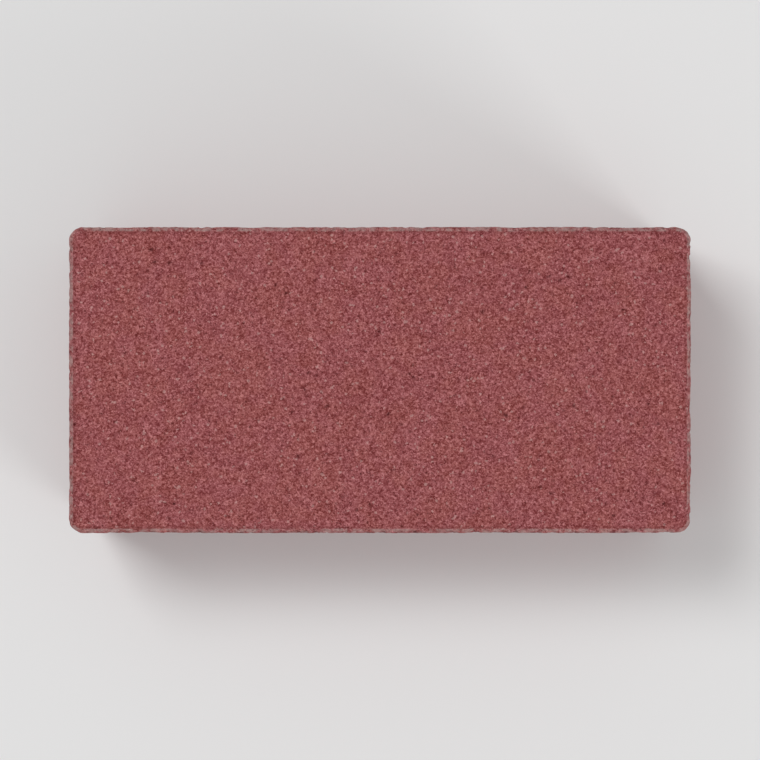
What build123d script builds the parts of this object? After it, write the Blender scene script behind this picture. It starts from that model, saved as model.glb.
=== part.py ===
from build123d import *
import os

# A rectangular concrete paving stone, pressed as one piece: a plain block with rounded upright
# corners, a fine bevel round its wearing face, and spacer nibs that keep the joints open.
# Sizes are in millimetres. X runs along the stone, Y across it, and Z up from the bed face,
# which lies on the laying course. The origin is the middle of the bed face.

# Laying grid: what one stone takes up in the paving, half a joint included on every side
grid_length = 200.0
grid_width = 100.0
joint_width = 3.0

# Block
thickness = 60.0
corner_radius = 4.5

# Bevel round the wearing face
bevel_width = 2.0  # seen from above
bevel_depth = 1.5  # down the side

# Spacer nibs
nib_root_width = 12.0
nib_tip_width = 8.0
nib_edge_radius = 0.8  # rounds the two upright edges of the tip
nib_head_slope = 12.0  # the length over which the head runs back into the side
nib_cover = 14.0  # from the wearing face down to the top of the head
nib_seat = 4.0  # how far the root reaches into the block

# Worked out from the sizes above
block_length = grid_length - joint_width
block_width = grid_width - joint_width
nib_reach = joint_width / 2  # two nibs that meet tip to tip hold the joint open
nib_top = thickness - nib_cover
# A side nib stands in the middle of each half of the long side, where in a herringbone,
# basket or running bond the neighbour has a nib of its own.
side_nib_spacing = grid_length / 2


def block():
    """The pressed block, with the bevel that runs round its wearing face."""
    with BuildPart() as stone:
        with BuildSketch():
            RectangleRounded(block_length, block_width, corner_radius)
        extrude(amount=thickness)
        wearing_face = stone.faces().sort_by(Axis.Z)[-1]
        chamfer(wearing_face.edges(), bevel_width, bevel_depth, reference=wearing_face)
    return stone.part


def nib_plan():
    """The nib from above, with drafted flanks. The side of the block is at X = 0."""
    with BuildSketch() as plan:
        with BuildLine():
            Polyline(
                (-nib_seat, -nib_root_width / 2),
                (0, -nib_root_width / 2),
                (nib_reach, -nib_tip_width / 2),
                (nib_reach, nib_tip_width / 2),
                (0, nib_root_width / 2),
                (-nib_seat, nib_root_width / 2),
                close=True,
            )
        make_face()
        fillet(plan.vertices().group_by(Axis.X)[-1], nib_edge_radius)
    return plan.sketch


def nib_side_view():
    """The nib from the side: upright tip, then a head that runs back into the block."""
    with BuildSketch(Plane.XZ) as view:
        with BuildLine():
            Polyline(
                (-nib_seat, 0),
                (nib_reach, 0),
                (nib_reach, nib_top - nib_head_slope),
                (0, nib_top),
                (-nib_seat, nib_top),
                close=True,
            )
        make_face()
    return view.sketch


def spacer_nib():
    """One nib, where its plan drawn upwards and its side view drawn across meet."""
    upright = extrude(nib_plan(), amount=nib_top)
    across = extrude(nib_side_view(), amount=nib_root_width / 2, both=True)
    return upright & across


def nib_places():
    """Where each nib stands on the outline of the block, and which way it points."""
    places = []
    for way, turn in ((1, 0), (-1, 180)):
        places.append(Location((way * block_length / 2, 0, 0), (0, 0, turn)))
        for along in (-side_nib_spacing / 2, side_nib_spacing / 2):
            places.append(Location((along, way * block_width / 2, 0), (0, 0, turn + 90)))
    return places


def paving_stone():
    """The whole stone as one solid."""
    stone = block()
    nib = spacer_nib()
    for place in nib_places():
        stone += place * nib
    return stone


os.makedirs("parts", exist_ok=True)
export_step(paving_stone(), "parts/paving_stone.step")
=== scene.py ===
"""Dresses the paving stone and sets the stage for it.

The stone is one skin of small triangles laid over the pressed block: flat charts for the wearing
face and the bed face, and one unrolled chart for each side. The skin carries the relief, the
pores and the chips. Finer grain is in the material. Everything is in metres.
"""

import math
import random
from typing import NamedTuple

import bpy
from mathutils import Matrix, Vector, noise
from mathutils.geometry import delaunay_2d_cdt
from mathutils.kdtree import KDTree


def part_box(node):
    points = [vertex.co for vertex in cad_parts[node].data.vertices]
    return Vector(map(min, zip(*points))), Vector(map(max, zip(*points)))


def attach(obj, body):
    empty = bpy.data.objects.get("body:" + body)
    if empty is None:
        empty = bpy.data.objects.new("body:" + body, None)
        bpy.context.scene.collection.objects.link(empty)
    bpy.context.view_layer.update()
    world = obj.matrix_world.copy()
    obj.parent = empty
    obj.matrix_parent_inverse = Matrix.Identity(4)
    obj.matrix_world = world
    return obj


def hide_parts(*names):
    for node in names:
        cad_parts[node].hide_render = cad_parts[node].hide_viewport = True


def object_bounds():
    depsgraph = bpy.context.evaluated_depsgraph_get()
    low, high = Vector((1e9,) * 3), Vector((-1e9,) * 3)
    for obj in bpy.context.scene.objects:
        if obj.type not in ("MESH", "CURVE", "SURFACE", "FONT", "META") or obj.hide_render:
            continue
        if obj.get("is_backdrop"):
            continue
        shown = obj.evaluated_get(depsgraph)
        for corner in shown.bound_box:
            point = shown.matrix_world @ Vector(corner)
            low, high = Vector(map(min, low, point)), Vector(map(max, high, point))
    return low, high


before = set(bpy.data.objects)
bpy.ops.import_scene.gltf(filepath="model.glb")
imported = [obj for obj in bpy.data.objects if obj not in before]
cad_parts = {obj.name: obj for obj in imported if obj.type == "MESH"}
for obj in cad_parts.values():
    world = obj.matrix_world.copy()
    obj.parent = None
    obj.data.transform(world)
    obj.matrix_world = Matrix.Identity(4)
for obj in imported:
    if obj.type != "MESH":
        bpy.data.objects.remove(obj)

bl_info = {
    "name": "Concrete paving stone",
    "version": (1, 0, 0),
    "blender": (4, 5, 0),
    "location": "3D View > Sidebar > Paving stone",
    "description": "Makes a pressed concrete paving stone and a plain stage for it",
    "category": "Add Mesh",
}

MM = 0.001
SQUARE_CM = 0.0001
CAD_NODE = "paving_stone"
CAD_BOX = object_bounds()
LOW, HIGH = (Vector(corner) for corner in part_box(CAD_NODE))

# The finish is painted on a square map, where the wearing face is laid at a larger scale than
# the rest. Scales are in map widths per metre, and the gap between charts is in map widths.
FACE_SCALE = 5.0
REST_SCALE = 2.5
MAP_GAP = 0.008
MAP_ROWS = (("wearing_face",), ("bed_face", 1), (3, 0, 2))  # from the bottom up, sides by number
MAP_NAME = "OFBake"  # name of the map that the finish is painted on

# Lamps. The middle of the stone's bed face is at the origin
KEY_PLACE = (-0.75, 0.65, 1.65)
FILL_PLACE = (1.40, -1.10, 0.55)
LAMP_SIZE = 0.7


# Settings


def length_setting(name, description, default):
    return bpy.props.FloatProperty(
        name=name, description=description, default=default, min=0.0, unit="LENGTH", precision=4
    )


def colour_setting(name, description, default):
    return bpy.props.FloatVectorProperty(
        name=name, description=description, default=default, size=3, subtype="COLOR", min=0.0, max=1.0
    )


def number_setting(name, description, default, most, unit="NONE"):
    return bpy.props.FloatProperty(
        name=name, description=description, default=default, min=0.0, max=most, unit=unit
    )


class StoneSizes(bpy.types.PropertyGroup):
    """Sizes of the block, its bevel and its nibs."""

    joint: length_setting("Joint", "Gap that two nibs hold open between neighbours", 3.0 * MM)
    corner_radius: length_setting("Corner radius", "Rounding of the upright corners", 4.5 * MM)
    bevel_width: length_setting("Bevel width", "Width of the bevel, seen from above", 2.0 * MM)
    bevel_depth: length_setting("Bevel depth", "How far the bevel runs down the side", 1.5 * MM)
    nib_root: length_setting("Nib root", "Width of a nib where it leaves the side", 12.0 * MM)
    nib_tip: length_setting("Nib tip", "Width of a nib at its flat tip", 8.0 * MM)
    nib_slope: length_setting("Nib head", "Height over which a nib's head slopes back", 12.0 * MM)
    nib_cover: length_setting("Nib cover", "From the wearing face down to the nibs", 14.0 * MM)


class SkinSettings(bpy.types.PropertyGroup):
    """How finely the skin is divided, and how rough it is."""

    seed: bpy.props.IntProperty(name="Seed", description="Picks a set of pores and chips", default=7)
    face_step: length_setting("Face step", "Between points on the wearing face", 0.85 * MM)
    bed_step: length_setting("Bed step", "Between points on the bed face", 1.8 * MM)
    edge_step: length_setting("Edge step", "Between points along the upper edges", 0.54 * MM)
    relief: number_setting("Relief", "Scales the relief of every face", 1.0, 1.5)
    face_pores: number_setting("Face pores", "On a square centimetre of the wearing face", 0.41, 1.0)
    bed_pores: number_setting("Bed pores", "On a square centimetre of the bed face", 0.865, 1.5)
    side_pores: number_setting("Side pores", "On a square centimetre of the sides", 1.2, 2.0)
    chips: number_setting("Chips", "Scales the number of chips along the edges", 1.0, 2.0)


class ConcreteColours(bpy.types.PropertyGroup):
    """Colours of the concrete, and how far they stray in display levels of 0 to 255."""

    paste: colour_setting("Paste", "Colour of the dyed cement round the sand", (0.318, 0.0843, 0.0855))
    lime: colour_setting("Lime", "Pale film on the edges and the sides", (0.43, 0.31, 0.29))
    quartz: colour_setting("Quartz", "Pale grains of sand", (0.52, 0.36, 0.33))
    pebble: colour_setting("Pebble", "Small stones that the sides lay bare", (0.27, 0.125, 0.115))
    contrast: number_setting("Contrast", "Levels from the mean to the palest grain", 47.0, 90.0)
    warmth: number_setting("Warmth", "Levels by which patches are warmer or cooler", 2.0, 30.0)
    shadow: number_setting("Shadow", "Levels from the mean down to the floor of a hole", 62.0, 90.0)


class StageSettings(bpy.types.PropertyGroup):
    """The floor, the lamps and the camera."""

    floor: colour_setting("Floor", "Colour of the floor and the backdrop", (0.78, 0.78, 0.78))
    floor_size: length_setting("Floor size", "Side of the square floor", 12.0)
    sky: number_setting("Sky", "Brightness of the even light from all round", 0.50, 2.0)
    key: number_setting("Key lamp", "Power of the soft lamp at the upper left", 16.0, 99.0, "POWER")
    fill: number_setting("Fill lamp", "Power of the low lamp at the lower right", 14.0, 99.0, "POWER")
    camera_height: length_setting("Camera height", "Over the wearing face", 0.80)
    view_width: length_setting("View width", "What the camera sees at the wearing face", 0.240)


# Shape of the block


def soft_min(a, b, rounding):
    """The lesser of two heights, rounded where they cross."""
    overlap = max(rounding - abs(a - b), 0.0) / rounding
    return min(a, b) - overlap * overlap * rounding / 4


class Outline:
    """The block seen from above: straight sides joined by round corners.

    A place on it is how far round it lies, counted from the -Y end of the +X side, and how far
    inside the outline it lies.
    """

    def __init__(self, length, width, radius):
        self.radius = radius
        half_x = length / 2 - radius
        half_y = width / 2 - radius
        signs = ((1, 1), (-1, 1), (-1, -1), (1, -1))
        self.centres = [Vector((half_x * x, half_y * y)) for x, y in signs]
        self.runs = [2 * half_y, 2 * half_x, 2 * half_y, 2 * half_x]
        self.starts = [0.0]
        for run in self.runs:
            self.starts.append(self.starts[-1] + run + radius * math.pi / 2)
        self.length = self.starts[-1]

    def middle_of(self, side):
        """How far round the middle of a side lies."""
        return self.starts[side] + self.runs[side] / 2

    def at(self, along, inside):
        """The point there and the direction that looks out of the block."""
        along %= self.length
        side = max(side for side in range(4) if self.starts[side] <= along)
        past_run = along - self.starts[side] - self.runs[side]
        angle = side * math.pi / 2 + max(past_run, 0.0) / self.radius
        out = Vector((math.cos(angle), math.sin(angle)))
        ahead = Vector((-out.y, out.x))
        return self.centres[side] + out * (self.radius - inside) + ahead * min(past_run, 0.0), out


class Nibs:
    """The spacer nibs, as a bulge on the sides."""

    rounding = 0.5 * MM
    border = 1.0 * MM  # strip beside a nib that is as finely divided as the nib

    def __init__(self, sizes, outline):
        self.reach = sizes.joint / 2
        self.root = sizes.nib_root / 2
        self.tip = sizes.nib_tip / 2
        self.slope = sizes.nib_slope
        self.top = HIGH.z - sizes.nib_cover
        to_middle = (HIGH.x - LOW.x) / 4
        self.middles = [outline.middle_of(side) for side in (0, 2)]
        for side in (1, 3):
            self.middles += [outline.middle_of(side) - to_middle, outline.middle_of(side) + to_middle]

    def breaks(self):
        """Where the edges of the nibs lie on the outline."""
        edges = (-self.root, -self.tip, self.tip, self.root)
        return [middle + edge for middle in self.middles for edge in edges]

    def near(self, along):
        """Whether a nib or its border lies there."""
        return any(abs(along - middle) < self.root + self.border for middle in self.middles)

    def bulge(self, along, height):
        """How far the side stands out there."""
        off = min(abs(along - middle) for middle in self.middles)
        if off >= self.root or height >= self.top:
            return 0.0
        flank = self.reach * (self.root - off) / (self.root - self.tip)
        head = self.reach * (self.top - height) / self.slope
        return max(soft_min(soft_min(flank, head, self.rounding), self.reach, self.rounding), 0.0)


def rounded_path(corners, radii):
    """A line through corners, with a curve instead of each inner corner."""
    steps = 6  # in each curve
    points = [corners[0]]
    for before, corner, after, radius in zip(corners, corners[1:], corners[2:], radii):
        start = corner + (before - corner).normalized() * radius
        end = corner + (after - corner).normalized() * radius
        for step in range(steps + 1):
            share = step / steps
            points.append(start.lerp(corner, share).lerp(corner.lerp(end, share), share))
    return points + [corners[-1]]


class Section:
    """The line down the stone from the wearing face to the bed face, as inset and height."""

    face_ring = 1.4 * MM  # flat strip of the wearing face that belongs to the sides
    bed_ring = 3.0 * MM  # and of the bed face
    roundings = (0.7 * MM, 0.5 * MM, 0.9 * MM)  # inner bevel edge, outer bevel edge, foot
    fine_zone = 4.0 * MM  # depth of the finely divided zone below the upper edge
    least_step = 0.8  # share of the edge step that is used at that edge
    added_step = 1.25  # the most that is added to that share on the way down
    foot_zone = 3.0 * MM  # height of the evenly divided zone above the bed face
    foot_step = 1.0 * MM
    last_step = 1.5  # steps that the last row may span

    def __init__(self, sizes):
        self.arris = HIGH.z - sizes.bevel_depth
        self.face_margin = sizes.bevel_width + self.face_ring
        corners = [
            Vector((self.face_margin, HIGH.z)),
            Vector((sizes.bevel_width, HIGH.z)),
            Vector((0.0, self.arris)),
            Vector((0.0, 0.0)),
            Vector((self.bed_ring, 0.0)),
        ]
        self.points = rounded_path(corners, self.roundings)
        self.downs = [0.0]
        for a, b in zip(self.points, self.points[1:]):
            self.downs.append(self.downs[-1] + (b - a).length)
        self.length = self.downs[-1]
        self.to_arris = self.face_ring + math.hypot(sizes.bevel_width, sizes.bevel_depth)
        self.to_foot = self.length - self.bed_ring

    def at(self, down):
        """The place there and the direction out of the stone."""
        piece = max(i for i, begin in enumerate(self.downs[:-1]) if begin <= down)
        a, b = self.points[piece], self.points[piece + 1]
        share = (down - self.downs[piece]) / (self.downs[piece + 1] - self.downs[piece])
        heading = (b - a).normalized()
        return a.lerp(b, min(share, 1.0)), Vector((-heading.y, -heading.x))

    def is_high(self, down):
        """Whether the finely divided zone reaches down to there."""
        return self.at(down)[0].y > self.arris - self.fine_zone

    def rows(self, edge_step):
        """Distances down the section, close together near the upper edges."""
        found = [0.0]
        while True:
            height = self.at(found[-1])[0].y
            below = max(self.arris - height, 0.0)
            step = edge_step * (self.least_step + min(below / self.fine_zone, self.added_step))
            if height < self.foot_zone:
                step = self.foot_step
            if found[-1] + self.last_step * step > self.length:
                return found + [self.length]
            found.append(found[-1] + step)


# Relief, as a depth in millimetres below the face of the mould. Nothing stands proud of the
# mould, so the skin is flat wherever the sum falls below the least depth.

LEAST_DEPTH = 0.01  # keeps the skin just inside the pressed block
DRAG_STRETCH = 9  # how many times as tall as wide the upright marks are


def waves(place, size):
    """Smooth noise between 0 and 1 with bumps of about this size in millimetres."""
    return 0.5 - 0.5 * noise.noise(place / (size * MM))


def swell(place, size, height):
    """Gentle ups and downs around zero."""
    return (waves(place, size) - 0.5) * height


def pits(place, size, level, slope):
    """Pits where the noise rises past a level, and flat between them."""
    return max(waves(place, size) - level, 0.0) * slope


def face_relief(place):
    """Grains of sand levelled by the stamp, with open gaps between them."""
    gaps = pits(place, size=1.9, level=0.57, slope=1.1)
    return gaps + swell(place, size=2.7, height=0.14) + swell(place, size=20, height=0.06)


def side_relief(place):
    """Stones, open gaps, and upright marks where the mould was drawn off."""
    drawn = Vector((place.x, place.y, place.z / DRAG_STRETCH))
    gaps = pits(place, size=2.3, level=0.56, slope=1.9)
    drag = pits(drawn, size=2.0, level=0.42, slope=0.55)
    stones = pits(place, size=4.6, level=0.46, slope=0.95)
    return gaps + drag + stones + swell(place, size=24, height=0.3)


def bed_relief(place):
    """A film of cement against the board, open between the stones."""
    gaps = pits(place.zxy, size=3.0, level=0.52, slope=2.4)
    stones = pits(place, size=6.0, level=0.45, slope=0.8)
    return gaps + stones + swell(place, size=25, height=0.2)


def skin_depth(place, out):
    """Depth of the relief in metres, blended round the edges by where the skin faces."""
    up = max(out.z, 0.0)
    down = max(-out.z, 0.0)
    depth = 0.0
    for share, relief in ((up, face_relief), (down, bed_relief), (1 - up - down, side_relief)):
        if share > 0:
            depth += share * relief(place)
    return max(depth, LEAST_DEPTH) * MM


# Pores and chips


class Pore:
    """A small hole with an uneven outline, on a flat chart."""

    rings = ((1.0, 0.06), (0.82, 0.72), (0.42, 0.96))  # shares of the radius and of the depth
    outer_ring = 1.16  # share of the radius, round a large pore only
    large = 0.8 * MM
    spacing = 0.5 * MM  # of the points on the rim
    fewest = 7  # points on the rim
    oval = 0.20  # how far the rim strays from a circle, as a share of the radius
    corners = 0.13
    widest = 1.36  # share of the radius that the rim stays within
    berth = 1.5  # share of the radius that is kept free of other pores
    clearance = 0.4 * MM  # and the gap beyond that
    depths = (0.7, 1.3)  # shares of the radius

    def __init__(self, draw, middle, radius):
        self.middle = middle
        self.radius = radius
        self.depth = radius * draw.uniform(*self.depths)
        self.lean = draw.uniform(0, 2 * math.pi)
        self.pinch = draw.uniform(0, 2 * math.pi)

    def reach(self, angle):
        """Radius in one direction: an oval with three soft corners."""
        oval = self.oval * math.sin(2 * angle + self.lean)
        corners = self.corners * math.sin(3 * angle + self.pinch)
        return self.radius * (1 + oval + corners)

    def points(self):
        """The points of the hole, each with its share of the full depth."""
        around = max(self.fewest, round(2 * math.pi * self.radius / self.spacing))
        rings = [(share, sunk, around) for share, sunk in self.rings[:-1]]
        rings.append((*self.rings[-1], around // 2))
        if self.radius > self.large:
            rings.append((self.outer_ring, 0.0, around))
        for share, sunk, count in rings:
            for step in range(count):
                angle = 2 * math.pi * (step + share) / count
                ray = Vector((math.cos(angle), math.sin(angle)))
                yield self.middle + ray * self.reach(angle) * share, sunk
        yield self.middle, 1.0

    def covers(self, spot):
        """Whether a point of the plain skin would lie in the hole or crowd its rim."""
        return (spot - self.middle).length < self.radius * self.widest + self.spacing / 2


def throw_pores(draw, density, low, high, radii, keep_off=None):
    """Scatters pores over a chart so that none touches another. Most are small."""
    count = round(density * (high.x - low.x) * (high.y - low.y) / SQUARE_CM)
    tries = 12  # for each pore, before the chart counts as full
    small_ones = 2.6  # the more, the fewer large pores
    found = []
    for _ in range(count * tries):
        if len(found) == count:
            break
        radius = radii[0] * (radii[1] / radii[0]) ** (draw.random() ** small_ones)
        room = radius * Pore.berth + Pore.clearance
        across = draw.uniform(low.x + room, high.x - room)
        middle = Vector((across, draw.uniform(low.y + room, high.y - room)))
        pore = Pore(draw, middle, radius)
        crowded = any((middle - other.middle).length < room + other.radius * Pore.berth for other in found)
        if not crowded and not (keep_off and keep_off(middle, room)):
            found.append(pore)
    return found


class ChipKind(NamedTuple):
    """Chips that are thrown alike."""

    sides: tuple
    count: int
    height: float  # of the edge that they break, in metres
    widths: tuple  # from the middle to the end, in millimetres
    tall: float  # share of the width
    off: float  # how far outside the edge the middle lies, as a share of the depth


class Chip:
    """A chip knocked out of an edge: the points inside a ragged ellipsoid move to its wall."""

    shade = 0.45  # how much painted shade a chip gets, where a deep pore gets 1
    ragged = 0.25  # how uneven the wall is
    grain = 0.9 * MM
    farthest = 1.3  # share of the largest radius that the wall stays within
    nearest = 1e-6  # share of a radius: a point nearer to the middle has no way out, and stays
    depths = (0.9, 1.3)  # shares of the width
    stray = 0.15  # most by which the middle strays from its place, as a share of the depth

    def __init__(self, middle, along, out, radii):
        self.middle = middle
        self.axes = (along, out, Vector((0, 0, 1)))
        self.radii = radii

    def moved(self, place):
        """Where a point goes, or None if it stays."""
        offset = place - self.middle
        local = Vector([offset.dot(axis) / radius for axis, radius in zip(self.axes, self.radii)])
        wall = 1 + self.ragged * noise.noise(place / self.grain)
        if not self.nearest < local.length < wall:
            return None
        local *= wall / local.length
        steps = zip(local, self.axes, self.radii)
        return self.middle + sum((axis * share * radius for share, axis, radius in steps), Vector())


# The skin


class Skin:
    """Gathers the points and triangles of the stone."""

    inside_border = 1  # asks delaunay_2d_cdt for the triangles inside the border alone
    same_point = 1e-7  # millimetres

    def __init__(self):
        self.places = []
        self.outs = []  # directions out of the stone
        self.downs = []  # distances down the section
        self.sunk = []  # depths in a pore
        self.proud = []  # heights on a nib, as shares of its reach
        self.painted_hollow_shade = []  # how much painted shade a pore or a chip gives the points, from 0 to 1
        self.faces = []
        self.spots = []  # of the corners of each face, on the map

    def point(self, place, out, down, sunk, proud=0.0):
        """Adds a point of the plain block and returns its number."""
        self.places.append(place)
        self.outs.append(out)
        self.downs.append(down)
        self.sunk.append(sunk)
        self.proud.append(proud)
        return len(self.places) - 1

    def lay(self, spots, indices, border, flip, on_map):
        """Joins the spots of a flat chart into triangles inside its border."""
        edges = list(zip(border, border[1:] + border[:1]))
        flat = [spot / MM for spot in spots]
        found = delaunay_2d_cdt(flat, edges, [], self.inside_border, self.same_point, True)
        _, _, triangles, origins, _, _ = found
        for triangle in triangles:
            corners = [origins[i][0] for i in triangle]
            if flip:
                corners.reverse()
            self.faces.append([indices[i] for i in corners])
            self.spots.append([on_map(spots[i]) for i in corners])


def staggered_spots(draw, half, step):
    """Staggered rows of points, each moved a little so that no rows show."""
    shake = 0.17
    rise = step * math.sqrt(3) / 2
    for row in range(int(2 * half.y / rise) + 1):
        for column in range(int(2 * half.x / step) + 1):
            across = (column + (row % 2) / 2 + draw.uniform(-shake, shake)) * step
            yield Vector((across - half.x, (row + draw.uniform(-shake, shake)) * rise - half.y))


def room_inside(spot, half, radius):
    """How far a spot lies inside a rounded rectangle, up to the radius of its corners."""
    over = Vector((max(abs(spot.x) - half.x + radius, 0.0), max(abs(spot.y) - half.y + radius, 0.0)))
    if over.x > 0 or over.y > 0:
        return radius - over.length
    return radius


class FlatFace(NamedTuple):
    """What sets the wearing face and the bed face apart."""

    name: str
    top: bool
    margin: float  # from the side of the block to the ring that the sides end in
    row: int  # of the grid, where that ring lies
    step: float
    pores: float
    pore_radii: tuple
    scale: float  # on the map


class StoneBuilder:
    """Builds the skin of the stone chart by chart."""

    face_pore_radii = (0.30 * MM, 0.55 * MM)
    bed_pore_radii = (0.6 * MM, 2.4 * MM)
    side_pore_radii = (0.55 * MM, 1.9 * MM)
    clear_of_face = 6 * MM  # strip without pores at the upper end of a side's chart
    clear_of_bed = 4 * MM  # and at its lower end
    clear_of_ring = 0.55  # share of a step that the points of a flat face keep from its border
    dark_from = 0.3 * MM  # depth from which a pore gets the full painted shade

    def __init__(self, sizes, settings):
        self.settings = settings
        self.sizes = sizes
        self.block = (HIGH - LOW).xy - Vector((sizes.joint, sizes.joint))
        self.outline = Outline(self.block.x, self.block.y, sizes.corner_radius)
        self.nibs = Nibs(sizes, self.outline)
        self.section = Section(sizes)
        self.draw = random.Random(settings.seed)
        self.skin = Skin()
        self.columns = self.place_columns()
        self.rows = self.section.rows(settings.edge_step)
        self.grid = {}
        self.flat_faces = [
            FlatFace(
                name="wearing_face",
                top=True,
                margin=self.section.face_margin,
                row=0,
                step=settings.face_step,
                pores=settings.face_pores,
                pore_radii=self.face_pore_radii,
                scale=FACE_SCALE,
            ),
            FlatFace(
                name="bed_face",
                top=False,
                margin=self.section.bed_ring,
                row=len(self.rows) - 1,
                step=settings.bed_step,
                pores=settings.bed_pores,
                pore_radii=self.bed_pore_radii,
                scale=REST_SCALE,
            ),
        ]
        self.map_corners = self.lay_out_map()

    def lay_out_map(self):
        """The lower left corner of every chart on the map."""
        sizes = {}
        for face in self.flat_faces:
            sizes[face.name] = (self.block - 2 * Vector((face.margin, face.margin))) * face.scale
        for side in range(4):
            length = self.outline.starts[side + 1] - self.outline.starts[side]
            sizes[side] = Vector((length, self.section.length)) * REST_SCALE
        corners = {}
        under = MAP_GAP
        for row in MAP_ROWS:
            left = MAP_GAP
            for chart in row:
                corners[chart] = (left, under)
                left += sizes[chart].x + MAP_GAP
            under += max(sizes[chart].y for chart in row) + MAP_GAP
        return corners

    def place_columns(self):
        """Distances round the outline, one of them at every side, corner and nib edge."""
        breaks = set(self.nibs.breaks())
        for start, run in zip(self.outline.starts, self.outline.runs):
            breaks |= {start, start + run}
        breaks = sorted(breaks) + [self.outline.length]
        found = []
        for start, end in zip(breaks, breaks[1:]):
            # An even number, so that every second one can be left out
            count = 2 * max(1, round((end - start) / (2 * self.settings.edge_step)))
            found += [start + (end - start) * step / count for step in range(count)]
        return found

    def side_point(self, along, down, sunk=0.0):
        """Adds a point of a side, given by its place on the unrolled chart."""
        place, facing = self.section.at(down)
        bulge = self.nibs.bulge(along, place.y)
        if facing.y < 0:
            # Under the stone the bulge fades out towards the flat part of the bed face
            bulge *= 1 - place.x / self.section.bed_ring
        flat, out = self.outline.at(along, place.x - bulge)
        normal = Vector((out.x * facing.x, out.y * facing.x, facing.y))
        proud = bulge / self.nibs.reach
        return self.skin.point(flat.to_3d() + Vector((0, 0, place.y)), normal, down, sunk, proud)

    def grid_point(self, column, row):
        """The point where a column and a row cross, made once and shared by the charts there."""
        key = (column % len(self.columns), row)
        if key not in self.grid:
            self.grid[key] = self.side_point(self.columns[key[0]], self.rows[row])
        return self.grid[key]

    def used_in(self, column, row):
        """Whether a row uses a column. Every second one is left out low down, off the nibs."""
        if column % 2 == 0 or self.section.is_high(self.rows[row]):
            return True
        return self.nibs.near(self.columns[column % len(self.columns)])

    def crosses_nib_edge(self, middle, room):
        """Whether a pore would lie across an edge of a nib."""
        if self.section.at(middle.y)[0].y > self.nibs.top + room:
            return False
        return any(abs(middle.x - edge) < room for edge in self.nibs.breaks())

    def side_pores(self, start, end):
        """The pores of one side."""
        low = Vector((start, self.clear_of_face))
        high = Vector((end, self.section.length - self.clear_of_bed))
        density = self.settings.side_pores
        return throw_pores(self.draw, density, low, high, self.side_pore_radii, self.crosses_nib_edge)

    def side(self, number):
        """One side with the corner after it."""
        start, end = self.outline.starts[number : number + 2]
        first = self.columns.index(start)
        last = self.columns.index(end) if number < 3 else len(self.columns)
        bottom = len(self.rows) - 1
        pores = self.side_pores(start, end)
        spots, indices, border = [], [], {}
        for row, down in enumerate(self.rows):
            for column in range(first, last + 1):
                if not self.used_in(column, row):
                    continue
                spot = Vector((self.columns[column] if column < len(self.columns) else end, down))
                if column in (first, last) or row in (0, bottom):
                    border[(row, column)] = len(spots)
                elif any(pore.covers(spot) for pore in pores):
                    continue
                spots.append(spot)
                indices.append(self.grid_point(column, row))
        self.add_pores(pores, spots, indices, self.side_point)
        top_row = sorted(key for key in border if key[0] == 0)
        bottom_row = sorted((key for key in border if key[0] == bottom), reverse=True)
        ring = top_row + [(row, last) for row in range(1, bottom)]
        ring += bottom_row + [(row, first) for row in range(bottom - 1, 0, -1)]
        left, under = self.map_corners[number]

        def on_map(spot):
            up = self.section.length - spot.y
            return left + (spot.x - start) * REST_SCALE, under + up * REST_SCALE

        self.skin.lay(spots, indices, [border[key] for key in ring], True, on_map)

    def flat_face(self, face):
        """The wearing face or the bed face, inside the ring that the sides end in."""
        half = self.block / 2 - Vector((face.margin, face.margin))
        radius = self.sizes.corner_radius - face.margin
        height = HIGH.z if face.top else LOW.z
        facing = Vector((0, 0, 1 if face.top else -1))
        pores = throw_pores(self.draw, face.pores, -half, half, face.pore_radii)
        columns = [column for column in range(len(self.columns)) if self.used_in(column, face.row)]
        indices = [self.grid_point(column, face.row) for column in columns]
        spots = [self.skin.places[index].xy for index in indices]
        border = list(range(len(spots)))

        def point(x, y, sunk=0.0):
            inside = room_inside(Vector((x, y)), half, radius)
            down = -inside if face.top else self.section.length + inside
            return self.skin.point(Vector((x, y, height)), facing, down, sunk)

        for spot in staggered_spots(self.draw, half, face.step):
            near_border = room_inside(spot, half, radius) < self.clear_of_ring * face.step
            if near_border or any(pore.covers(spot) for pore in pores):
                continue
            spots.append(spot)
            indices.append(point(spot.x, spot.y))
        self.add_pores(pores, spots, indices, point)
        left, under = self.map_corners[face.name]

        def on_map(spot):
            across = spot.x if face.top else -spot.x
            return left + (across + half.x) * face.scale, under + (spot.y + half.y) * face.scale

        self.skin.lay(spots, indices, border, not face.top, on_map)

    def add_pores(self, pores, spots, indices, point):
        """Adds the points of the pores to those of a chart."""
        for pore in pores:
            for spot, sunk in pore.points():
                spots.append(spot)
                indices.append(point(spot.x, spot.y, sunk * pore.depth))

    def chip_kinds(self):
        """Chips along the edge of the wearing face, most on two sides of it, and along the foot."""
        arris = self.section.arris
        all_sides = (0, 1, 2, 3)
        return (
            ChipKind(sides=(0, 3), count=75, height=arris, widths=(0.60, 1.15), tall=1.7, off=0.30),
            ChipKind(sides=all_sides, count=70, height=arris, widths=(0.45, 0.8), tall=1.8, off=0.50),
            ChipKind(sides=all_sides, count=7, height=arris, widths=(1.1, 1.6), tall=1.5, off=0.55),
            ChipKind(sides=all_sides, count=70, height=LOW.z, widths=(0.6, 1.6), tall=1.3, off=0.50),
            ChipKind(sides=all_sides, count=9, height=LOW.z, widths=(1.6, 3.0), tall=1.2, off=0.50),
        )

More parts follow.
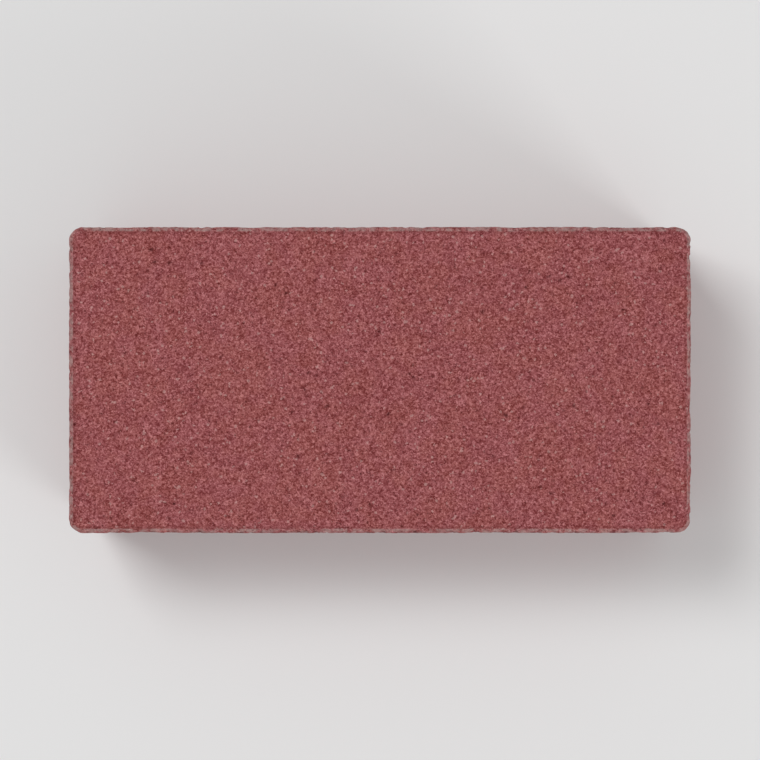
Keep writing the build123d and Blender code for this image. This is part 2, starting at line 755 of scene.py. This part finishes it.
    def chip(self, kind):
        """One chip at a random place on a straight stretch of an edge."""
        side = self.draw.choices(kind.sides, [self.outline.runs[side] for side in kind.sides])[0]
        along = self.outline.starts[side] + self.draw.uniform(0, self.outline.runs[side])
        wide = self.draw.uniform(*kind.widths) * MM
        deep = wide * self.draw.uniform(*Chip.depths)
        stand_off = deep * self.draw.uniform(kind.off - Chip.stray, kind.off + Chip.stray)
        flat, out = self.outline.at(along, -stand_off - self.nibs.bulge(along, kind.height))
        ahead = Vector((-out.y, out.x, 0))
        middle = flat.to_3d() + Vector((0, 0, kind.height))
        return Chip(middle, ahead, out.to_3d(), (wide, deep, wide * kind.tall))

    def build(self):
        """Lays every chart, then presses in the relief and breaks the chips away."""
        for number in range(4):
            self.side(number)
        for face in self.flat_faces:
            self.flat_face(face)
        skin = self.skin
        for index, (place, out) in enumerate(zip(skin.places, skin.outs)):
            depth = skin_depth(place, out) * self.settings.relief
            skin.places[index] = place - out * (depth + skin.sunk[index])
        # Pores get painted shade by their depth
        skin.painted_hollow_shade = [min(sunk / self.dark_from, 1.0) for sunk in skin.sunk]
        tree = KDTree(len(skin.places))
        for index, place in enumerate(skin.places):
            tree.insert(place, index)
        tree.balance()
        for kind in self.chip_kinds():
            for _ in range(round(kind.count * self.settings.chips)):
                self.break_away(tree, self.chip(kind))

    def break_away(self, tree, chip):
        """Moves the points inside a chip to its wall."""
        skin = self.skin
        for _, index, _ in tree.find_range(chip.middle, chip.farthest * max(chip.radii)):
            moved = chip.moved(skin.places[index])
            if moved:
                skin.places[index] = moved
                # The moved points get the chip's painted shade
                skin.painted_hollow_shade[index] = max(skin.painted_hollow_shade[index], Chip.shade)


def mesh_of(builder):
    """Turns the skin into a mesh, with its map and what the finish has to know of each point."""
    skin = builder.skin
    section = builder.section
    mesh = bpy.data.meshes.new("red_paving_stone")
    mesh.from_pydata(skin.places, [], skin.faces)
    marks = {
        "from_arris": [(down - section.to_arris) / MM for down in skin.downs],
        "from_foot": [(section.to_foot - down) / MM for down in skin.downs],
        "proud": skin.proud,
        "painted_hollow_shade": skin.painted_hollow_shade,
    }
    for name, values in marks.items():
        mesh.attributes.new(name, "FLOAT", "POINT").data.foreach_set("value", values)
    layer = mesh.uv_layers.new(name=MAP_NAME)
    flat = [number for corners in skin.spots for corner in corners for number in corner]
    layer.uv.foreach_set("vector", flat)
    mesh.shade_smooth()
    mesh.validate()
    return mesh


# Nodes


def feed(slot, value):
    """Gives an input a number, a vector or colour, or what another node puts out."""
    if isinstance(value, Signal):
        value = value.socket
    if isinstance(value, bpy.types.NodeSocket):
        slot.id_data.links.new(value, slot)
    elif slot.type == "RGBA":
        slot.default_value = (*value, 1.0)
    else:
        slot.default_value = value


def add(tree, kind, inputs=None, **settings):
    """Adds a node with its settings, and feeds its inputs."""
    node = tree.nodes.new(kind)
    for name, value in settings.items():
        setattr(node, name, value)
    for key, value in (inputs or {}).items():
        feed(node.inputs[key], value)
    return node


class Signal:
    """A number that changes over the surface and can be reckoned with, each step a node."""

    def __init__(self, socket):
        self.socket = socket

    def step(self, operation, a, b, clamp=False):
        tree = self.socket.id_data
        node = add(tree, "ShaderNodeMath", {0: a, 1: b}, operation=operation, use_clamp=clamp)
        return Signal(node.outputs[0])

    def __add__(self, other):
        return self.step("ADD", self, other)

    def __sub__(self, other):
        return self.step("SUBTRACT", self, other)

    def __rsub__(self, other):
        return self.step("SUBTRACT", other, self)

    def __mul__(self, other):
        return self.step("MULTIPLY", self, other)

    def __rtruediv__(self, other):
        return self.step("DIVIDE", other, self)

    def over(self, level):
        """1 above a level and 0 below it."""
        return self.step("GREATER_THAN", self, level)

    def clipped(self):
        """The number, held between 0 and 1."""
        return self.step("ADD", self, 0.0, clamp=True)

    def swing(self, width):
        """Turns a field around 0.5 into one around 0 that is this many times as wide."""
        return (self - 0.5) * width

    def rise(self, low, high):
        """0 up to low, 1 from high on, and a smooth step between."""
        inputs = {"Value": self, "From Min": low, "From Max": high}
        tree = self.socket.id_data
        node = add(tree, "ShaderNodeMapRange", inputs, interpolation_type="SMOOTHSTEP")
        return Signal(node.outputs[0])

    def band(self, start, full, fade, end):
        """1 from full to fade, 0 before start and after end, and smooth steps between."""
        return self.rise(start, full) * (1.0 - self.rise(fade, end))


def mixed(tree, share, a, b):
    """Mixes two colours, which go in at sockets 6 and 7 and come out at socket 2."""
    node = add(tree, "ShaderNodeMix", {0: share, 6: a, 7: b}, data_type="RGBA")
    return node.outputs[2]


def scaled(tree, vector, factors):
    """Stretches a place along each axis."""
    node = add(tree, "ShaderNodeVectorMath", {0: vector, 1: factors}, operation="MULTIPLY")
    return node.outputs[0]


def noise_field(tree, place, size, detail, roughness=0.5):
    """Cloudy noise around 0.5, with clouds of about this size in millimetres."""
    inputs = {"Vector": place, "Scale": 1 / size, "Detail": detail, "Roughness": roughness}
    return Signal(add(tree, "ShaderNodeTexNoise", inputs).outputs["Fac"])


def new_group(name, inputs, outputs):
    """Makes an empty node group with named sockets, and returns it with what it is given."""
    group = bpy.data.node_groups.new(name, "ShaderNodeTree")
    group.interface.new_socket(name="Place", in_out="INPUT", socket_type="NodeSocketVector")
    for label, default in inputs.items():
        socket = group.interface.new_socket(name=label, in_out="INPUT", socket_type="NodeSocketFloat")
        socket.default_value = default
    for label in outputs:
        group.interface.new_socket(name=label, in_out="OUTPUT", socket_type="NodeSocketFloat")
    given = group.nodes.new("NodeGroupInput").outputs
    result = group.nodes.new("NodeGroupOutput").inputs
    return group, given, result


def sand_group():
    """Grains of one size: a random shade for each, and how far it stands out."""
    group, given, result = new_group("Sand", {"Grain": 1.0}, ("Shade", "Height"))
    per_mm = 1.0 / Signal(given["Grain"])
    wander = add(group, "ShaderNodeTexNoise", {"Vector": given["Place"], "Scale": per_mm, "Detail": 1.0})
    middle = {0: wander.outputs["Color"], 1: (0.5, 0.5, 0.5)}
    centred = add(group, "ShaderNodeVectorMath", middle, operation="SUBTRACT").outputs[0]
    push = add(group, "ShaderNodeVectorMath", {0: centred, "Scale": given["Grain"]}, operation="SCALE")
    place = add(group, "ShaderNodeVectorMath", {0: given["Place"], 1: push.outputs[0]}, operation="ADD")
    cells = add(group, "ShaderNodeTexVoronoi", {"Vector": place.outputs[0], "Scale": per_mm})
    drawn = add(group, "ShaderNodeSeparateColor", {0: cells.outputs["Color"]})
    feed(result["Shade"], drawn.outputs[0])
    away = Signal(cells.outputs["Distance"])
    feed(result["Height"], (1.0 - away * away).clipped())
    return group


def pinhole_group():
    """Round holes left by air: 1 in a hole and 0 outside."""
    settings = {"Spacing": 2.0, "Share": 0.2, "Width": 0.3}
    group, given, result = new_group("Pinholes", settings, ("Hole",))
    per_mm = 1.0 / Signal(given["Spacing"])
    cells = add(group, "ShaderNodeTexVoronoi", {"Vector": given["Place"], "Scale": per_mm})
    drawn = add(group, "ShaderNodeSeparateColor", {0: cells.outputs["Color"]})
    width = (Signal(drawn.outputs[1]) + 0.4) * given["Width"]
    hole = ((width - cells.outputs["Distance"]) * 9.0).clipped()
    missing = Signal(drawn.outputs[0]).over(given["Share"])
    feed(result["Hole"], hole * (1.0 - missing))
    return group


def gap_group():
    """Ragged gaps between the grains: 1 in a gap and 0 outside."""
    group, given, result = new_group("Gaps", {"Size": 1.0, "Level": 0.36}, ("Gap",))
    per_mm = 1.0 / Signal(given["Size"])
    inputs = {"Vector": given["Place"], "Scale": per_mm, "Detail": 3.0, "Roughness": 0.6}
    field = add(group, "ShaderNodeTexNoise", inputs).outputs["Fac"]
    feed(result["Gap"], ((Signal(given["Level"]) - field) * 14.0).clipped())
    return group


# Material


def to_display(value):
    """A linear colour value as a display level of 0 to 255, by the sRGB curve."""
    if value <= 0.0031308:
        return 255 * 12.92 * value
    return 255 * (1.055 * value ** (1 / 2.4) - 0.055)


def to_linear(level):
    """A display level of 0 to 255 as a linear colour value."""
    level = min(max(level / 255, 0.0), 1.0)
    return level / 12.92 if level <= 0.04045 else ((level + 0.055) / 1.055) ** 2.4


def shifted(colour, levels, warmth=0.0):
    """A colour made paler by so many display levels, and warmer by so many less of blue."""
    red, green, blue = (to_display(value) + levels for value in colour)
    return to_linear(red), to_linear(green), to_linear(blue - warmth)


def shade_ramp(tree, shade, colour, contrast, warmth):
    """Turns a shade around 0.5 into a colour around the mean one."""
    ramp = add(tree, "ShaderNodeValToRGB", {0: shade})
    stops = ramp.color_ramp.elements
    for position in (0.25, 0.5, 0.75):
        stops.new(position)
    for stop in stops:
        stop.color = (*shifted(colour, contrast * 2 * (stop.position - 0.5), warmth), 1.0)
    return ramp.outputs["Color"]


class ConcreteFinish:
    """Dyed concrete: sand in two sizes, open gaps, faint clouds, and lime on the edges.

    Sizes, and the distances from the upper edge and the foot, are in millimetres.
    """

    upright = (1, 1, 0.055)  # stretches noise into upright streaks

    def __init__(self, tree, colours):
        self.tree = tree
        self.colours = colours
        # Colour of the painted shade in hollows and along the inner edge of the bevel
        self.painted_shade_colour = shifted(colours.paste, -colours.shadow)
        where = add(tree, "ShaderNodeTexCoord").outputs["Object"]
        self.place = scaled(tree, where, (1 / MM, 1 / MM, 1 / MM))
        self.from_arris = self.mark("from_arris")
        self.below = self.from_arris.rise(low=0.5, high=3.0)
        self.from_foot = self.mark("from_foot")
        self.side = self.below * self.from_foot.rise(low=0.0, high=1.0)
        sand = sand_group()
        self.coarse_shade, self.coarse_height = self.placed(sand, Grain=0.66)
        self.fine_shade, self.fine_height = self.placed(sand, Grain=0.36)
        self.stone_shade, self.stone_height = self.placed(sand, Grain=4.2)
        bare = self.stone_shade.over(0.88) * self.stone_height.rise(low=0.60, high=0.75)
        self.pebble = bare * self.below
        self.hole = self.placed(pinhole_group(), Spacing=2.3, Share=0.10, Width=0.19)[0]
        self.gap = self.placed(gap_group(), Size=0.9, Level=0.37)[0]
        self.crumbs = self.noise(size=0.8, detail=5, roughness=0.72)
        self.drag = noise_field(tree, scaled(tree, self.place, self.upright), size=1.0, detail=2)

    def mark(self, name):
        """What the mesh carries under this name."""
        return Signal(add(self.tree, "ShaderNodeAttribute", attribute_name=name).outputs["Fac"])

    def placed(self, group, **inputs):
        """Puts a group in the material and gives what it puts out."""
        node = add(self.tree, "ShaderNodeGroup", node_tree=group)
        for name, value in {"Place": self.place, **inputs}.items():
            feed(node.inputs[name], value)
        return [Signal(socket) for socket in node.outputs]

    def noise(self, size, detail, roughness=0.5):
        """Cloudy noise in the stone's own space."""
        return noise_field(self.tree, self.place, size, detail, roughness)

    def shade(self):
        """How pale the sand and the paste are, around 0.5. The sides are calmer, but streaked."""
        grains = self.coarse_shade.swing(0.44) + self.fine_shade.swing(0.62)
        grains += self.crumbs.swing(0.45) + self.noise(size=22, detail=3).swing(0.06)
        calm = 1.0 - self.below * 0.30
        return grains * calm + self.drag.swing(0.45) * self.side + 0.5

    def lime(self):
        """Share of lime: on the outer half of the bevel, the foot, the nibs and in streaks."""
        edge = self.from_arris.band(start=-2.1, full=-1.6, fade=0.1, end=1.2)
        foot = self.from_foot.band(start=-3.5, full=0.0, fade=0.5, end=4.0) * 0.5
        nibs = self.mark("proud").rise(0.5, 1.0) * 0.45
        streaks = self.drag.rise(0.50, 0.72) * self.side * 0.45
        patches = self.noise(size=2.2, detail=3).rise(0.36, 0.64)
        film = self.coarse_shade * 0.16 + patches * 0.52 - 0.03
        return (edge + foot + nibs + streaks) * film.clipped()

    def colour(self):
        """The paste and its sand, then pebbles, lime, and painted shade in the hollows and along the inner
        edge of the bevel.
        """
        colours = self.colours
        shade = self.shade()
        warm = shade_ramp(self.tree, shade, colours.paste, colours.contrast, colours.warmth)
        cool = shade_ramp(self.tree, shade, colours.paste, colours.contrast, -colours.warmth)
        colour = mixed(self.tree, self.noise(size=8, detail=2).rise(0.35, 0.65), cool, warm)
        # Painted shade along the inner edge of the bevel, where it meets the face
        crease_shade = self.from_arris.band(start=-3.2, full=-2.6, fade=-2.2, end=-1.7)
        layers = (
            (self.coarse_shade.over(0.98) * 0.35, colours.quartz),
            (self.pebble * 0.40, colours.pebble),
            (self.lime(), colours.lime),
            (crease_shade * 0.22, self.painted_shade_colour),
            # Painted shade in the pinholes
            (self.hole * 0.7, self.painted_shade_colour),
            # Painted shade in the gaps between grains
            (self.gap * 0.6, self.painted_shade_colour),
            # Painted shade in the pores and chips of the skin
            (self.mark("painted_hollow_shade") * 0.58, self.painted_shade_colour),
        )
        for share, over in layers:
            colour = mixed(self.tree, share, colour, over)
        return colour

    def normal(self):
        """The surface with its grains, pebbles and gaps raised or sunk, in millimetres."""
        height = self.coarse_height * 0.22 + self.fine_height * 0.12 + self.crumbs * 0.38
        height = height + self.pebble * 0.10 - self.hole * 0.25 - self.gap * 0.16
        bump = add(self.tree, "ShaderNodeBump", {"Height": height, "Distance": MM, "Strength": 1.0})
        return bump.outputs[0]


def concrete_material(colours):
    """The one material of the stone."""
    material = bpy.data.materials.new("red_pressed_concrete")
    material.use_nodes = True
    shader = material.node_tree.nodes["Principled BSDF"]
    finish = ConcreteFinish(material.node_tree, colours)
    feed(shader.inputs["Base Color"], finish.colour())
    feed(shader.inputs["Roughness"], finish.fine_shade * 0.12 + 0.82)
    feed(shader.inputs["Specular IOR Level"], 0.18)
    feed(shader.inputs["Normal"], finish.normal())
    return material


class MESH_OT_paving_stone(bpy.types.Operator):
    """Makes the stone as one skin with its relief, pores and chips, and gives it its finish"""

    bl_idname = "mesh.paving_stone"
    bl_label = "Paving stone"

    def execute(self, context):
        scene = context.scene
        builder = StoneBuilder(scene.stone_sizes, scene.stone_skin)
        builder.build()
        mesh = mesh_of(builder)
        mesh.materials.append(concrete_material(scene.concrete_colours))
        stone = bpy.data.objects.new("red_paving_stone", mesh)
        context.collection.objects.link(stone)
        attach(stone, "root")
        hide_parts(CAD_NODE)
        return {"FINISHED"}


# Stage


def looked_at(tree):
    """1 where the camera looks, straight or by way of a reflection or glass, and 0 for light."""
    path = add(tree, "ShaderNodeLightPath").outputs
    rays = Signal(path["Is Camera Ray"]) + path["Is Glossy Ray"] + path["Is Transmission Ray"]
    return rays.clipped()


def plain_floor(stage):
    """A large pale floor that takes the shadow, and fades into the backdrop far off."""
    half = stage.floor_size / 2
    mesh = bpy.data.meshes.new("floor")
    corners = [(-half, -half, 0), (half, -half, 0), (half, half, 0), (-half, half, 0)]
    mesh.from_pydata(corners, [], [(0, 1, 2, 3)])
    material = bpy.data.materials.new("pale_floor")
    material.use_nodes = True
    tree = material.node_tree
    shader = tree.nodes["Principled BSDF"]
    feed(shader.inputs["Base Color"], stage.floor)
    feed(shader.inputs["Roughness"], 0.9)
    feed(shader.inputs["Specular IOR Level"], 0.1)
    where = add(tree, "ShaderNodeTexCoord").outputs["Object"]
    away = add(tree, "ShaderNodeVectorMath", {0: where}, operation="LENGTH").outputs["Value"]
    far = Signal(away).rise(low=0.3, high=1.1) * looked_at(tree)
    backdrop = add(tree, "ShaderNodeEmission", {"Color": stage.floor, "Strength": 1.0})
    either = add(tree, "ShaderNodeMixShader", {0: far, 1: shader.outputs[0], 2: backdrop.outputs[0]})
    feed(tree.nodes["Material Output"].inputs["Surface"], either.outputs[0])
    mesh.materials.append(material)
    floor = bpy.data.objects.new("floor", mesh)
    bpy.context.collection.objects.link(floor)
    floor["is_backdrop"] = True


def even_sky(stage):
    """Even light from all round, seen and reflected as a pale backdrop."""
    world = bpy.data.worlds.new("studio")
    bpy.context.scene.world = world
    world.use_nodes = True
    tree = world.node_tree
    tree.nodes.clear()
    light = add(tree, "ShaderNodeBackground", {"Color": (1, 1, 1), "Strength": stage.sky})
    shown = add(tree, "ShaderNodeBackground", {"Color": stage.floor, "Strength": 1.0})
    inputs = {0: looked_at(tree), 1: light.outputs[0], 2: shown.outputs[0]}
    either = add(tree, "ShaderNodeMixShader", inputs)
    add(tree, "ShaderNodeOutputWorld", {"Surface": either.outputs[0]})


def soft_lamp(name, place, power):
    """A square lamp that points at the stone."""
    data = bpy.data.lights.new(name, "AREA")
    data.size = LAMP_SIZE
    data.energy = power
    lamp = bpy.data.objects.new(name, data)
    lamp.location = place
    lamp.rotation_euler = (-lamp.location).to_track_quat("-Z", "Y").to_euler()
    bpy.context.collection.objects.link(lamp)


def overhead_camera(stage):
    """A camera that looks straight down, with the stone's length across the picture."""
    data = bpy.data.cameras.new("overhead")
    data.lens = data.sensor_width * stage.camera_height / stage.view_width
    data.clip_start = 0.01
    camera = bpy.data.objects.new("overhead", data)
    camera.location = (0, 0, HIGH.z + stage.camera_height)
    bpy.context.collection.objects.link(camera)
    bpy.context.scene.camera = camera


class SCENE_OT_paving_stage(bpy.types.Operator):
    """Sets a pale floor, soft light and a camera that looks straight down"""

    bl_idname = "scene.paving_stage"
    bl_label = "Stage"

    def execute(self, context):
        stage = context.scene.stone_stage
        plain_floor(stage)
        even_sky(stage)
        soft_lamp("key_lamp", KEY_PLACE, stage.key)
        soft_lamp("fill_lamp", FILL_PLACE, stage.fill)
        overhead_camera(stage)
        context.scene.view_settings.view_transform = "Standard"
        return {"FINISHED"}


class VIEW3D_PT_paving_stone(bpy.types.Panel):
    """Lists the settings and what they make"""

    bl_idname = "VIEW3D_PT_paving_stone"
    bl_label = "Paving stone"
    bl_space_type = "VIEW_3D"
    bl_region_type = "UI"
    bl_category = "Paving stone"

    def draw(self, context):
        makers = {
            "mesh.paving_stone": ("stone_sizes", "stone_skin", "concrete_colours"),
            "scene.paving_stage": ("stone_stage",),
        }
        for operator, names in makers.items():
            for name in names:
                for key in SETTINGS[name].__annotations__:
                    self.layout.prop(getattr(context.scene, name), key)
            self.layout.operator(operator)


SETTINGS = {
    "stone_sizes": StoneSizes,
    "stone_skin": SkinSettings,
    "concrete_colours": ConcreteColours,
    "stone_stage": StageSettings,
}
CLASSES = (*SETTINGS.values(), MESH_OT_paving_stone, SCENE_OT_paving_stage, VIEW3D_PT_paving_stone)


def register():
    for cls in CLASSES:
        bpy.utils.register_class(cls)
    for name, settings in SETTINGS.items():
        setattr(bpy.types.Scene, name, bpy.props.PointerProperty(type=settings))


def unregister():
    for name in SETTINGS:
        delattr(bpy.types.Scene, name)
    for cls in reversed(CLASSES):
        bpy.utils.unregister_class(cls)


def main():
    """Makes the stone and its stage."""
    register()
    bpy.ops.mesh.paving_stone()
    bpy.ops.scene.paving_stage()
    boxes = {"cad": CAD_BOX, "visual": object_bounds()}
    {name: [list(corner) for corner in box] for name, box in boxes.items()}


if __name__ == "__main__":
    main()
